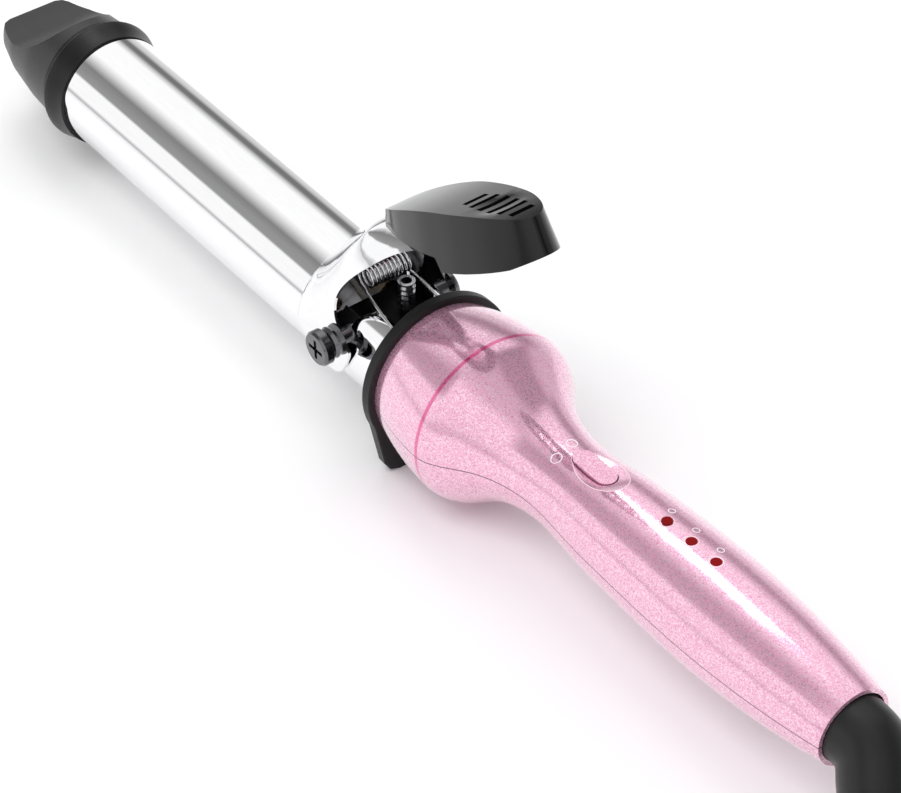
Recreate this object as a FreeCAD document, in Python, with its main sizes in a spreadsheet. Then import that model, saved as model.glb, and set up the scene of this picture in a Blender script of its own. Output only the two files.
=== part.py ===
import FreeCAD, Part
import math
import os
import re

import Sketcher
from FreeCAD import Placement, Rotation, Vector

# A curling iron: a heated barrel with a sprung hair clamp, a two-shell handle with a
# push button, and a lead on a swivel.  The barrel lies along X: the cool tip points to -X,
# the lead leaves at +X and the thumb lever is on top (+Z).  Stations are measured along
# the barrel from the joint face, where the collar meets the handle; heights are measured
# from the barrel's axis.  The stand's foot rests on Z = 0.

SIZES = {
    # overall
    "barrel_reach": 156.8,
    "tip_length": 44.1,
    "handle_length": 155.0,
    "axis_height": 25.4,
    "running_gap": 0.05,
    "free_gap": 0.3,
    # barrel tube and its window
    "barrel_radius": 16.0,
    "barrel_wall": 0.8,
    "barrel_overlap": 5.0,
    "barrel_socket": 13.0,
    "window_front": 36.0,
    "window_step": 19.3,
    "window_sill": 13.5,
    "window_floor": 2.0,
    "window_round": 5.0,
    # cool tip
    "flange_radius": 18.5,
    "flange_length": 9.8,
    "flange_band": 3.0,
    "flange_taper": 6.6,
    "tip_radius": 16.9,
    "tip_end_radius": 11.4,
    "tip_bulge": 1.0,
    "tip_round": 2.5,
    "scoop_radius": 31.65,
    "scoop_setback": 5.3,
    "scoop_floor": 4.2,
    "plug_length": 10.0,
    "spigot_radius": 7.5,
    "spigot_length": 14.0,
    # heater
    "core_length": 96.0,
    "core_front": 148.0,
    "core_gap": 4.8,
    "core_bore": 4.0,
    "heater_length": 84.0,
    "heater_width": 15.0,
    "heater_thickness": 3.0,
    "film_wall": 0.5,
    "fuse_radius": 2.0,
    "fuse_length": 11.0,
    "wire_radius": 0.8,
    # base bracket, pivot and spring
    "bracket_front": 34.0,
    "bracket_floor": 1.5,
    "cheek_thickness": 3.2,
    "pivot_station": 19.9,
    "pivot_rise": 6.6,
    "pivot_radius": 1.5,
    "bushing_radius": 4.3,
    "bushing_length": 3.0,
    "bushing_sleeve": 2.5,
    "far_head_length": 1.4,
    "screw_head_radius": 4.8,
    "screw_head_length": 2.7,
    "screw_neck_radius": 2.6,
    "screw_neck_length": 1.1,
    "screw_tip": 11.0,
    "bushing_clearance": 0.6,
    "spring_radius": 2.9,
    "spring_wire": 0.5,
    "spring_turns": 9.0,
    "spring_width": 13.5,
    "spring_station": 22.6,
    "spring_rise": 19.2,
    "post_radius": 2.3,
    "post_bore": 1.4,
    "post_height": 15.7,
    "post_station": 17.3,
    "post_offset": 3.0,
    # clamp
    "clamp_gap": 0.25,
    "clamp_wall": 0.75,
    "clamp_edge": 2.0,
    "clamp_clearance": 1.3,
    "clamp_round": 5.0,
    "crease_station": 38.8,
    "yoke_half_width": 17.1,
    "yoke_wall": 0.75,
    "strip_width": 11.2,
    "strip_thickness": 1.2,
    # thumb pad
    "pad_station": 25.0,
    "pad_rise": 68.3,
    "pad_tilt": 22.0,
    "pad_wall": 1.8,
    "pad_slot_length": 9.0,
    "pad_slot_width": 1.9,
    "pad_slot_pitch": 3.9,
    "pad_slots": 6.0,
    # collar and foot
    "collar_radius": 22.0,
    "collar_thickness": 3.0,
    "foot_top_half": 20.4,
    "foot_half": 18.0,
    "foot_shoulder": 8.0,
    "foot_round": 4.5,
    # handle
    "mouth_radius": 20.1,
    "bulb_radius": 23.8,
    "bulb_station": 22.4,
    "bulb_crown": 0.9,
    "neck_radius": 12.0,
    "neck_station": 53.0,
    "grip_radius": 14.8,
    "grip_station": 109.0,
    "rear_radius": 10.4,
    "handle_wall": 2.4,
    "rear_bore": 9.3,
    "rear_bore_depth": 12.0,
    "holder_length": 12.0,
    "handle_screw_first": 37.0,
    "handle_screw_last": 124.0,
    "handle_screw_head": 3.0,
    "handle_screw_radius": 1.4,
    "boss_radius": 3.4,
    # circuit board, switch and lights
    "board_front": 44.0,
    "board_length": 70.0,
    "board_width": 13.0,
    "board_thickness": 1.6,
    "board_top": 4.6,
    "switch_station": 63.0,
    "switch_side": 6.0,
    "switch_height": 3.4,
    "plunger_radius": 1.6,
    "button_length": 14.0,
    "button_width": 5.4,
    "button_top": 12.4,
    "button_travel": 0.6,
    "button_flange": 0.5,
    "dish_radius": 26.0,
    "dish_floor": 11.2,
    "light_first": 89.8,
    "light_pitch": 8.8,
    "light_radius": 1.4,
    "light_top": 14.75,
    # swivel and lead
    "drum_radius": 6.5,
    "drum_flange_radius": 8.5,
    "drum_flange_width": 2.4,
    "bushing_width": 8.6,
    "ring_radius": 6.0,
    "ring_width": 1.6,
    "brush_thickness": 0.4,
    "brush_foot": 2.5,
    "brush_top": 3.6,
    "holder_depth": 3.9,
    "holder_half": 2.0,
    "boot_radius": 9.0,
    "boot_tail_radius": 4.3,
    "cord_radius": 3.3,
    "coil_turn_radius": 36.0,
    "tie_thickness": 0.8,
    "tie_width": 9.0,
    "plug_body_length": 34.0,
    "plug_width": 25.0,
    "plug_height": 16.0,
    "blade_length": 17.0,
    "blade_width": 6.3,
    "blade_thickness": 1.5,
    "blade_spacing": 12.7,
}

doc = FreeCAD.newDocument("CurlingIron")
sheet = doc.addObject("Spreadsheet::Sheet", "Sizes")
for row, (alias, value) in enumerate(SIZES.items(), 1):
    sheet.set(f"A{row}", alias)
    sheet.set(f"B{row}", str(value))
    sheet.setAlias(f"B{row}", alias)
doc.recompute()

size = {alias: float(sheet.get(alias)) for alias in SIZES}
nodes = []

ALONG_X = Rotation(Vector(0, 1, 0), 90)
ALONG_Y = Rotation(Vector(1, 0, 0), -90)
UPRIGHT = Rotation()
X_TO_Z = Rotation(Vector(0, 1, 0), -90)


# --- helpers -----------------------------------------------------------------------------

def cell(expression):
    """A plain expression in size names, written for the document."""
    return re.sub(r"[a-z_]*[a-z]", lambda word: "Sizes." + word.group(), expression)


def bind(piece, **properties):
    for name, expression in properties.items():
        piece.setExpression(name, cell(expression))


def place(piece, x="0", y="0", z="0", rotation=UPRIGHT):
    """Puts a piece at a station x, a sideways offset y and a height z above the axis."""
    piece.Placement = Placement(Vector(), rotation)
    datum = "(barrel_reach + tip_length - handle_length) / 2"
    piece.setExpression("Placement.Base.x", cell(f"{datum} + ({x})"))
    piece.setExpression("Placement.Base.y", cell(y))
    piece.setExpression("Placement.Base.z", cell(f"axis_height + ({z})"))
    return piece


def finish(piece, label):
    """Registers a piece as a sub-part under the label that names its file."""
    piece.Label = label
    nodes.append(piece)
    return piece


def cylinder(radius, length, x="0", y="0", z="0", rotation=ALONG_X):
    piece = doc.addObject("Part::Cylinder", "Cylinder")
    bind(piece, Radius=radius, Height=length)
    return place(piece, x, y, z, rotation)


def block(length, width, height, x, y, z):
    """A box whose corner with the lowest x and z is at x, z and which is centred on y."""
    piece = doc.addObject("Part::Box", "Block")
    bind(piece, Length=length, Width=width, Height=height)
    return place(piece, x, f"({y}) - ({width}) / 2", z)


def join(*pieces):
    whole = doc.addObject("Part::MultiFuse", "Joined")
    whole.Shapes = list(pieces)
    return whole


def cut(base, *tools):
    result = doc.addObject("Part::Cut", "Cut")
    result.Base = base
    result.Tool = tools[0] if len(tools) == 1 else join(*tools)
    return result


def common(first, second):
    result = doc.addObject("Part::Common", "Common")
    result.Base = first
    result.Tool = second
    return result


def group(*pieces):
    whole = doc.addObject("Part::Compound", "Group")
    whole.Links = list(pieces)
    return whole


def mirrored(piece):
    """The same piece on the other side of the plane Y = 0."""
    other = doc.addObject("Part::Mirroring", "Mirrored")
    other.Source = piece
    other.Normal = Vector(0, 1, 0)
    return other


def sketch_on(body, role):
    sketch = body.newObject("Sketcher::SketchObject", "Outline")
    planes = [plane for plane in body.Origin.OriginFeatures if plane.Role == role]
    sketch.AttachmentSupport = (planes[0], [""])
    sketch.MapMode = "FlatFace"
    return sketch


def polygon(sketch, corners):
    """A closed outline whose corners are pairs of expressions."""
    count = len(corners)
    step = 2 * math.pi / count
    rough = [Vector(10 * math.cos(i * step), 20 + 10 * math.sin(i * step), 0) for i in range(count)]
    for i in range(count):
        sketch.addGeometry(Part.LineSegment(rough[i], rough[(i + 1) % count]), False)
    for i in range(count):
        sketch.addConstraint(Sketcher.Constraint("Coincident", i, 2, (i + 1) % count, 1))
    for i, (across, up) in enumerate(corners):
        for kind, start, expression in (
            ("DistanceX", rough[i].x, across),
            ("DistanceY", rough[i].y, up),
        ):
            index = sketch.addConstraint(Sketcher.Constraint(kind, -1, 1, i, 1, start))
            sketch.setExpression(f"Constraints[{index}]", cell(expression))


def turned(corners, x="0", y="0", z="0", rotation=UPRIGHT):
    """A body turned about its own X axis, from (distance along, radius) corners."""
    body = doc.addObject("PartDesign::Body", "Turned")
    sketch = sketch_on(body, "XZ_Plane")
    polygon(sketch, corners)
    turning = body.newObject("PartDesign::Revolution", "Turning")
    turning.Profile = sketch
    turning.ReferenceAxis = (sketch, ["H_Axis"])
    turning.Angle = 360
    return place(body, x, y, z, rotation)


def ring(outer, inner, start, end):
    """A turned ring between two stations."""
    return turned([(start, inner), (end, inner), (end, outer), (start, outer)])


def padded(corners, plane, thickness, x="0", y="0", z="0"):
    """A flat piece of a given thickness, centred on its sketch plane."""
    body = doc.addObject("PartDesign::Body", "Plate")
    sketch = sketch_on(body, plane)
    polygon(sketch, corners)
    pad = body.newObject("PartDesign::Pad", "Thickness")
    pad.Profile = sketch
    pad.Midplane = True
    bind(pad, Length=thickness)
    return place(body, x, y, z)


def shaped(shape, label=None):
    """A piece whose shape is worked out below; it is drawn about the joint face."""
    piece = doc.addObject("Part::Feature", "Shaped")
    piece.Shape = shape if shape.Placement.isIdentity() else Part.makeCompound([shape])
    place(piece)
    if label:
        finish(piece, label)
    return piece


def spline(points):
    curve = Part.BSplineCurve()
    curve.interpolate([Vector(*point) for point in points])
    return curve.toShape()


def closed_face(points, curved):
    """A face in the XZ plane: a spline through curved, closed by straight lines."""
    edge = spline([(x, 0, z) for x, z in curved])
    corners = [Vector(curved[-1][0], 0, curved[-1][1])]
    corners += [Vector(x, 0, z) for x, z in points]
    corners.append(Vector(curved[0][0], 0, curved[0][1]))
    return Part.Face(Part.Wire([edge] + Part.makePolygon(corners).Edges))


def slab(face, half_width):
    """A face in the XZ plane made into a block reaching half_width to each side."""
    face.translate(Vector(0, -half_width, 0))
    return face.extrude(Vector(0, 2 * half_width, 0))


# --- cool tip ----------------------------------------------------------------------------

FLANGE_FRONT = "-barrel_reach - flange_length"
TIP_FRONT = "-barrel_reach - tip_length"
TIP_DEPTH = "(tip_length - flange_length)"

tip_solid = turned([
    (FLANGE_FRONT, "0"),
    (FLANGE_FRONT, "tip_radius"),
    (f"{FLANGE_FRONT} - {TIP_DEPTH} * 0.35", "tip_radius * 0.65 + tip_end_radius * 0.35 + tip_bulge"),
    (f"{FLANGE_FRONT} - {TIP_DEPTH} * 0.7", "tip_radius * 0.3 + tip_end_radius * 0.7 + tip_bulge"),
    (f"{TIP_FRONT} + tip_round", "tip_end_radius + tip_bulge * 0.3"),
    (f"{TIP_FRONT} + tip_round * 0.3", "tip_end_radius - tip_round * 0.3"),
    (TIP_FRONT, "tip_end_radius - tip_round"),
    (TIP_FRONT, "0"),
])
scoop = cylinder(
    "scoop_radius", "4 * tip_radius", f"{TIP_FRONT} + scoop_setback", "-2 * tip_radius",
    "scoop_floor + scoop_radius", ALONG_Y,
)
tip_socket = cylinder(
    "spigot_radius", "spigot_length - flange_length + barrel_overlap",
    f"{FLANGE_FRONT} - (spigot_length - flange_length + barrel_overlap)",
)
finish(cut(tip_solid, scoop, tip_socket), "tip_cap")

flange_ring = turned([
    (FLANGE_FRONT, "spigot_radius + running_gap"),
    ("-barrel_reach - barrel_overlap", "spigot_radius + running_gap"),
    ("-barrel_reach - barrel_overlap", "barrel_radius"),
    ("-barrel_reach", "barrel_radius"),
    ("-barrel_reach", "barrel_radius + 1.3 * clamp_wall"),
    ("-barrel_reach - flange_taper * 0.35", "barrel_radius + 1.7 * clamp_wall"),
    ("-barrel_reach - flange_taper", "flange_radius"),
    (f"{FLANGE_FRONT} + flange_band * 0.9", "flange_radius"),
    (f"{FLANGE_FRONT} + flange_band * 0.55", "tip_radius + 0.1"),
    (FLANGE_FRONT, "tip_radius"),
])
finish(flange_ring, "tip_flange")

tip_plug = turned([
    ("-barrel_reach - barrel_overlap - spigot_length", "1.5"),
    ("-barrel_reach - barrel_overlap + plug_length", "1.5"),
    ("-barrel_reach - barrel_overlap + plug_length", "barrel_radius - barrel_wall"),
    ("-barrel_reach - barrel_overlap", "barrel_radius - barrel_wall"),
    ("-barrel_reach - barrel_overlap", "spigot_radius"),
    ("-barrel_reach - barrel_overlap - spigot_length", "spigot_radius"),
])
finish(tip_plug, "tip_plug")

tip_screw = turned([
    ("-barrel_reach - barrel_overlap - spigot_length", "0"),
    ("-barrel_reach - barrel_overlap - spigot_length", "1.45"),
    ("-barrel_reach - barrel_overlap + plug_length", "1.45"),
    ("-barrel_reach - barrel_overlap + plug_length", "3"),
    ("-barrel_reach - barrel_overlap + plug_length + 2", "2.4"),
    ("-barrel_reach - barrel_overlap + plug_length + 2", "0"),
])
finish(tip_screw, "tip_screw")

# --- barrel ------------------------------------------------------------------------------

barrel_pipe = ring(
    "barrel_radius", "barrel_radius - barrel_wall", "-barrel_reach - barrel_overlap", "barrel_socket",
)
window_throat = block(
    "window_front - window_step", "3 * barrel_radius", "2 * barrel_radius",
    "-window_front", "0", "-window_floor",
)
window_top = block(
    "window_step - collar_thickness - free_gap", "3 * barrel_radius", "barrel_radius",
    "-window_step", "0", "window_sill",
)
corner_block = block(
    "window_round", "3 * barrel_radius", "window_round", "-window_step", "0",
    "window_sill - window_round",
)
corner_round = cylinder(
    "window_round", "3 * barrel_radius", "-window_step + window_round", "-1.5 * barrel_radius",
    "window_sill - window_round", ALONG_Y,
)
barrel_window = join(window_throat, window_top, cut(corner_block, corner_round))
pivot_holes = cylinder(
    "bushing_sleeve + running_gap", "4 * barrel_radius", "-pivot_station", "-2 * barrel_radius",
    "pivot_rise", ALONG_Y,
)
finish(cut(barrel_pipe, barrel_window, pivot_holes), "barrel_tube")

# --- heater ------------------------------------------------------------------------------

CORE_RADIUS = "(barrel_radius - barrel_wall - running_gap)"


def heat_core(side, label):
    """Half of the aluminium core, above (side 1) or below (side -1) the heater."""
    whole = cylinder(CORE_RADIUS, "core_length", "-core_front")
    keep_z = "core_gap / 2" if side > 0 else "-core_gap / 2 - 2 * barrel_radius"
    half = block(
        "core_length", "3 * barrel_radius", "2 * barrel_radius", "-core_front", "0", keep_z,
    )
    bore_z = "core_gap / 2 + core_bore + 1.6" if side > 0 else "-core_gap / 2 - core_bore - 1.6"
    bore = cylinder("core_bore", "core_length", "-core_front", "0", bore_z)
    finish(cut(common(whole, half), bore), label)


heat_core(1, "heat_core_upper")
heat_core(-1, "heat_core_lower")

HEATER_FRONT = "-core_front + (core_length - heater_length) / 2"
heater = block(
    "heater_length", "heater_width", "heater_thickness", HEATER_FRONT, "0", "-heater_thickness / 2",
)
finish(heater, "heater_element")

film_outside = block(
    "heater_length", "heater_width + 2 * film_wall", "heater_thickness + 2 * film_wall",
    HEATER_FRONT, "0", "-heater_thickness / 2 - film_wall",
)
film_inside = block(
    "heater_length", "heater_width", "heater_thickness", HEATER_FRONT, "0", "-heater_thickness / 2",
)
finish(cut(film_outside, film_inside), "heater_film")

FUSE_RISE = "-core_gap / 2 - core_bore - 1.6"
fuse = cylinder("fuse_radius", "fuse_length", "core_length - core_front - fuse_length / 2", "0", FUSE_RISE)
finish(fuse, "thermal_fuse")

# --- bracket at the barrel's base, pivots and spring ---------------------------------------

BORE = "(barrel_radius - barrel_wall)"
bracket_round = cylinder(BORE, "bracket_front + barrel_socket", "-bracket_front")
bracket_passage = cylinder(
    "barrel_radius * 0.45", "bracket_front + barrel_socket", "-bracket_front", "0",
    "-barrel_radius * 0.46",
)
headroom = block(
    "bracket_front + barrel_socket", "3 * barrel_radius", "2 * barrel_radius", "-bracket_front",
    "0", "bracket_floor",
)
bracket_base = cut(bracket_round, bracket_passage, headroom)
CHEEK_SPAN = "(2 * (bushing_radius + 1))"
cheek = block(
    CHEEK_SPAN, "cheek_thickness", "pivot_rise + bushing_radius - bracket_floor",
    "-pivot_station - bushing_radius - 1", "-screw_tip - cheek_thickness / 2 + bushing_clearance",
    "bracket_floor",
)
screw_bore = cylinder(
    "pivot_radius + 0.05", "2 * barrel_radius", "-pivot_station", "-barrel_radius", "pivot_rise", ALONG_Y,
)
bracket_whole = cut(join(bracket_base, cheek, mirrored(cheek)), screw_bore)
trim = cylinder(BORE, "bracket_front + barrel_socket", "-bracket_front")
finish(common(bracket_whole, trim), "pivot_bracket")

EAR_FACE = "yoke_half_width + free_gap / 3"
SIDEWAYS = Rotation(Vector(0, 0, 1), -90)
bushing = turned([
    ("barrel_radius * 0.7", "pivot_radius"),
    (f"{EAR_FACE} + bushing_length", "pivot_radius"),
    (f"{EAR_FACE} + bushing_length", "bushing_radius - 0.5"),
    (f"{EAR_FACE} + bushing_length * 0.7", "bushing_radius"),
    (f"{EAR_FACE} + bushing_length * 0.4", "bushing_radius - 0.4"),
    (EAR_FACE, "bushing_radius"),
    (EAR_FACE, "bushing_sleeve"),
    ("barrel_radius * 0.7", "bushing_sleeve"),
], "-pivot_station", "0", "pivot_rise", SIDEWAYS)
far_bushing = turned([
    ("barrel_radius * 0.7", "pivot_radius"),
    (f"{EAR_FACE} + far_head_length", "pivot_radius"),
    (f"{EAR_FACE} + far_head_length", "bushing_radius - 0.4"),
    (f"{EAR_FACE} + far_head_length / 2", "bushing_radius"),
    (EAR_FACE, "bushing_radius"),
    (EAR_FACE, "bushing_sleeve"),
    ("barrel_radius * 0.7", "bushing_sleeve"),
], "-pivot_station", "0", "pivot_rise", SIDEWAYS)


def bore_round():
    return cylinder(BORE, "4 * barrel_radius", "-pivot_station - 2 * barrel_radius")


finish(group(cut(bushing, bore_round()), mirrored(cut(far_bushing, bore_round()))), "pivot_bushings")

NECK_OUT = f"{EAR_FACE} + bushing_length"
SCREW_INNER = "screw_tip - bushing_clearance"
screw_turned = turned([
    (SCREW_INNER, "0"),
    (f"{NECK_OUT} + screw_neck_length + screw_head_length", "0"),
    (f"{NECK_OUT} + screw_neck_length + screw_head_length", "screw_head_radius - 0.5"),
    (f"{NECK_OUT} + screw_neck_length + screw_head_length * 0.75", "screw_head_radius"),
    (f"{NECK_OUT} + screw_neck_length", "screw_head_radius"),
    (f"{NECK_OUT} + screw_neck_length", "screw_neck_radius"),
    (NECK_OUT, "screw_neck_radius"),
    (NECK_OUT, "pivot_radius"),
    (SCREW_INNER, "pivot_radius"),
], "-pivot_station", "0", "pivot_rise", SIDEWAYS)
FAR_OUT = f"{EAR_FACE} + far_head_length"
far_screw = turned([
    (SCREW_INNER, "0"),
    (f"{FAR_OUT} + far_head_length / 2", "0"),
    (f"{FAR_OUT} + far_head_length / 2", "screw_neck_radius - 0.3"),
    (FAR_OUT, "screw_neck_radius"),
    (FAR_OUT, "pivot_radius"),
    (SCREW_INNER, "pivot_radius"),
], "-pivot_station", "0", "pivot_rise", SIDEWAYS)


def cross_arm(length, height):
    """One arm of the screwdriver cross in the pivot screw's head."""
    return block(
        length, "2", height, f"-pivot_station - ({length}) / 2",
        f"-({NECK_OUT} + screw_neck_length + screw_head_length)", f"pivot_rise - ({height}) / 2",
    )


pivot_screw = cut(
    screw_turned, cross_arm("screw_head_radius * 1.2", "1.1"), cross_arm("1.1", "screw_head_radius * 1.2"),
)
finish(group(pivot_screw, mirrored(far_screw)), "pivot_screws")


def torsion_spring():
    """The wound spring across the window, with a leg to the lever and one to the bracket."""
    turns = size["spring_turns"]
    width = size["spring_width"]
    radius = size["spring_radius"]
    wire = size["spring_wire"]
    helix = Part.makeHelix(width / turns, width, radius)
    start = Part.Wire([Part.makeCircle(wire, Vector(radius, 0, 0), Vector(0, 1, 0))])
    coil = Part.Wire(helix.Edges).makePipeShell([start], True, True)
    coil.rotate(Vector(), Vector(1, 0, 0), -90)
    coil.translate(Vector(-size["spring_station"], -width / 2, size["spring_rise"]))
    return coil


shaped(torsion_spring(), "torsion_spring")

post_outer = []
for ridge in range(5):
    low = 0.5 + 0.1 * ridge
    post_outer.append((f"bracket_floor + post_height * {low:.2f}", "post_radius"))
    post_outer.append((f"bracket_floor + post_height * {low + 0.05:.2f}", "post_radius - 0.3"))
post = turned(
    [("bracket_floor", "post_bore"), ("bracket_floor", "post_radius")]
    + post_outer
    + [("bracket_floor + post_height", "post_radius"), ("bracket_floor + post_height", "post_bore")],
    "-post_station", "post_offset", "0", X_TO_Z,
)
finish(post, "spring_post")

# --- collar with its foot ------------------------------------------------------------------

collar_disc = cylinder("collar_radius", "collar_thickness", "-collar_thickness")
foot_body = padded([
    ("-foot_top_half", "-foot_shoulder"),
    ("-foot_half", "-axis_height + foot_round * 0.9"),
    ("-foot_half + foot_round * 0.35", "-axis_height + foot_round * 0.25"),
    ("-foot_half + foot_round", "-axis_height"),
    ("foot_half - foot_round", "-axis_height"),
    ("foot_half - foot_round * 0.35", "-axis_height + foot_round * 0.25"),
    ("foot_half", "-axis_height + foot_round * 0.9"),
    ("foot_top_half", "-foot_shoulder"),
], "YZ_Plane", "collar_thickness", "-collar_thickness / 2")
collar_bore = cylinder("barrel_radius + running_gap", "2 * collar_thickness", "-1.5 * collar_thickness")
finish(cut(join(collar_disc, foot_body), collar_bore), "stand_collar")

# --- handle shells -------------------------------------------------------------------------


def handle_profile(inset):
    """The handle's half outline, from the joint face to the rear rim, set in by inset."""
    bulb_x = size["bulb_station"]
    neck_x = size["neck_station"]
    grip_x = size["grip_station"]
    end_x = size["handle_length"]
    mouth = size["mouth_radius"]
    bulb = size["bulb_radius"]
    neck = size["neck_radius"]
    grip = size["grip_radius"]
    rear = size["rear_radius"]
    crown_r = (mouth + bulb) / 2 + size["bulb_crown"]
    flank = [(0.14, 0.89), (0.36, 0.50), (0.53, 0.25), (0.74, 0.08)]
    curve = [(bulb_x, bulb)]
    curve += [(bulb_x + u * (neck_x - bulb_x), neck + v * (bulb - neck)) for u, v in flank]
    curve.append((neck_x, neck))
    curve.append((neck_x + 0.26 * (grip_x - neck_x), neck + 0.40 * (grip - neck)))
    curve.append((neck_x + 0.55 * (grip_x - neck_x), neck + 0.76 * (grip - neck)))
    curve.append((grip_x, grip))
    curve.append((grip_x + 0.5 * (end_x - grip_x), rear + 0.74 * (grip - rear)))
    curve.append((end_x, rear))
    crown = Part.Arc(
        Vector(0, 0, mouth - inset),
        Vector(bulb_x / 2, 0, crown_r - inset),
        Vector(bulb_x, 0, bulb - inset),
    )
    return [crown.toShape(), spline([(x, 0, r - inset) for x, r in curve])]


def half_handle(side):
    """Half of the handle: the upper shell (side 1) or the lower one (side -1)."""
    outer = handle_profile(0)
    inner = handle_profile(size["handle_wall"])
    ends = []
    for index in (0, -1):
        vertex = 0 if index == 0 else -1
        start = outer[index].Vertexes[vertex].Point
        end = inner[index].Vertexes[vertex].Point
        ends.append(Part.LineSegment(start, end).toShape())
    face = Part.Face(Part.Wire(Part.__sortEdges__(outer + inner + ends)))
    face.rotate(Vector(), Vector(1, 0, 0), 90)
    return face.revolve(Vector(), Vector(1, 0, 0), 180 if side < 0 else -180)


REAR_BORE_START = "handle_length - rear_bore_depth"
upper_half = shaped(half_handle(1))
lower_half = shaped(half_handle(-1))


def rear_bore():
    return cylinder("rear_bore", "2 * rear_bore_depth", REAR_BORE_START)


def screw_boss(station, side):
    """A screw's boss, from the parting plane to the shell, with its bore."""
    rotation = UPRIGHT if side > 0 else Rotation(Vector(1, 0, 0), 180)
    return cylinder("boss_radius", "bulb_radius", station, "0", "0", rotation)


def inside_of_handle():
    """The solid filled by the handle's outline, to trim what grows inside it."""
    outline = handle_profile(size["handle_wall"] * 0.5)
    first = outline[0].Vertexes[0].Point
    last = outline[1].Vertexes[-1].Point
    edges = outline + [
        Part.LineSegment(first, Vector(first.x, 0, 0)).toShape(),
        Part.LineSegment(Vector(first.x, 0, 0), Vector(last.x, 0, 0)).toShape(),
        Part.LineSegment(Vector(last.x, 0, 0), last).toShape(),
    ]
    face = Part.Face(Part.Wire(Part.__sortEdges__(edges)))
    return face.revolve(Vector(), Vector(1, 0, 0), 360)


SCREW_STATIONS = ("handle_screw_first", "handle_screw_last")
upper_bosses = common(join(*[screw_boss(s, 1) for s in SCREW_STATIONS]), shaped(inside_of_handle()))
lower_bosses = common(join(*[screw_boss(s, -1) for s in SCREW_STATIONS]), shaped(inside_of_handle()))
screw_bores = [
    cylinder("handle_screw_radius", "10", station, "0", "0", UPRIGHT) for station in SCREW_STATIONS
]
dish_ball = doc.addObject("Part::Sphere", "Dish")
bind(dish_ball, Radius="dish_radius")
place(dish_ball, "switch_station", "0", "dish_floor + dish_radius")


def pill(length, width, height, x, z):
    """An upright block with round ends, centred on station x."""
    middle = block(f"{length} - {width}", width, height, f"{x} - ({length} - {width}) / 2", "0", z)
    round_ends = [
        cylinder(f"({width}) / 2", height, f"{x} {sign} ({length} - {width}) / 2", "0", z, UPRIGHT)
        for sign in "+-"
    ]
    return join(middle, *round_ends)


button_hole = pill(
    "(button_length + 2 * free_gap)", "(button_width + 2 * free_gap)", "10", "switch_station", "board_top",
)
light_stations = [f"light_first + {i} * light_pitch" for i in range(3)]
light_holes = [
    cylinder("light_radius + running_gap", "12", station, "0", "board_top", UPRIGHT)
    for station in light_stations
]
upper_shell = cut(
    join(upper_half, upper_bosses), rear_bore(), dish_ball, button_hole, *screw_bores, *light_holes,
)
finish(upper_shell, "handle_upper_shell")

SCREW_SEAT = "-handle_wall - 4"
lower_bores = []
for station in SCREW_STATIONS:
    lower_bores.append(
        cylinder(
            "handle_screw_radius + 0.2", "2 * bulb_radius", station, "0", "0",
            Rotation(Vector(1, 0, 0), 180),
        )
    )
    lower_bores.append(
        cylinder(
            "handle_screw_head + 0.3", "2 * bulb_radius", station, "0", SCREW_SEAT,
            Rotation(Vector(1, 0, 0), 180),
        )
    )
finish(cut(join(lower_half, lower_bosses), rear_bore(), *lower_bores), "handle_lower_shell")

handle_screws = []
for station in SCREW_STATIONS:
    handle_screws.append(
        turned([
            ("-handle_wall - 6", "0"),
            ("-handle_wall - 6", "handle_screw_head - 0.4"),
            ("-handle_wall - 5.4", "handle_screw_head"),
            ("-handle_wall - 4", "handle_screw_head"),
            ("-handle_wall - 4", "handle_screw_radius"),
            ("8", "handle_screw_radius"),
            ("9", "0.4"),
            ("9", "0"),
        ], station, "0", "0", X_TO_Z)
    )
finish(group(*handle_screws), "handle_screws")

holder = turned([
    ("0", "barrel_radius"),
    ("holder_length", "barrel_radius"),
    ("holder_length", "mouth_radius - handle_wall + 0.6"),
    ("0", "mouth_radius - handle_wall"),
])
finish(holder, "barrel_holder")

# --- circuit board, switch and lights ------------------------------------------------------

board = block(
    "board_length", "board_width", "board_thickness", "board_front", "0", "board_top - board_thickness",
)
finish(board, "circuit_board")

switch_case = block(
    "switch_side", "switch_side", "switch_height", "switch_station - switch_side / 2", "0", "board_top",
)
switch_well = cylinder(
    "plunger_radius + 0.1", "switch_height", "switch_station", "0",
    "board_top + switch_height - 2 * button_travel", UPRIGHT,
)
finish(cut(switch_case, switch_well), "power_switch")

PLUNGER_LOW = "board_top + switch_height - 0.6 * button_travel"
PLUNGER_TOP = "board_top + switch_height + 1.2 * button_travel"
plunger = cylinder(
    "plunger_radius", "1.8 * button_travel", "switch_station", "0", PLUNGER_LOW, UPRIGHT,
)
finish(plunger, "switch_plunger")

button_key = pill(
    "button_length", "button_width", f"button_top - ({PLUNGER_TOP})", "switch_station", PLUNGER_TOP,
)
button_flange = block(
    "button_length + 1.6", "button_width - 1", "button_flange", "switch_station - button_length / 2 - 0.8",
    "0", PLUNGER_TOP,
)
finish(join(button_key, button_flange), "power_button")

lights = [
    cylinder("light_radius", "light_top - board_top", station, "0", "board_top", UPRIGHT)
    for station in light_stations
]
finish(group(*lights), "indicator_lights")

# --- swivel --------------------------------------------------------------------------------

DRUM_REAR = "handle_length - 1.2"
BUSHING_REAR = "(handle_length - 2.6)"
BUSHING_FRONT = f"({BUSHING_REAR} - bushing_width)"
finish(ring("rear_bore", "drum_radius + running_gap", BUSHING_FRONT, BUSHING_REAR), "swivel_bushing")

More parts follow.
